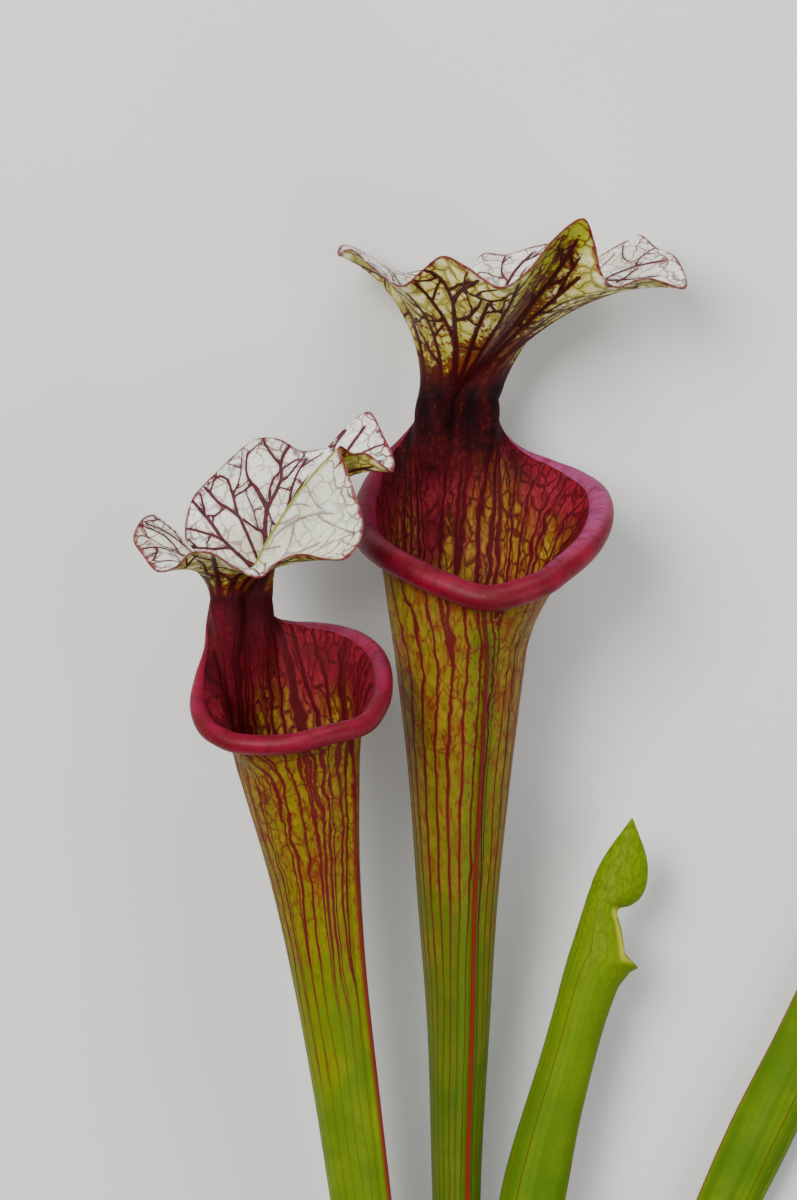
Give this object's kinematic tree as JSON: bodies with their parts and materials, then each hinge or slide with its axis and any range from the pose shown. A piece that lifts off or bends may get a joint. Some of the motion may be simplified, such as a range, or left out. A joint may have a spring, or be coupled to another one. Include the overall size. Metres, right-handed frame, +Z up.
{
  "type": "trumpet pitcher plant",
  "caption": "Bare-rooted trumpet pitcher plant lying on its back, with veined tubes, rolled red lips, waved pale hoods and green young pitchers.",
  "frame": {"origin": "centre of the bounding box's bottom face, on the surface that the plant lies on", "axes": "+Y along the leaves from the rootstock to the hoods, +Z up from the surface, out of the mouths, +X towards the young pitchers"},
  "size_m": [0.1836, 0.4038, 0.0752],
  "materials": {
    "tube": "satin, olive to green with red veins",
    "lip": "satin, crimson",
    "hood": "satin, white with wine veins, yellow-green below",
    "young_leaf": "satin, lime green",
    "rootstock": "rough, brown"
  },
  "bodies": {
    "root": {"tall_pitcher_tube": "tube", "tall_pitcher_lip": "lip", "tall_pitcher_hood": "hood", "small_pitcher_tube": "tube", "small_pitcher_lip": "lip", "small_pitcher_hood": "hood", "young_pitcher": "young_leaf", "side_pitcher": "young_leaf", "rootstock": "rootstock"}
  },
  "joints": []
}
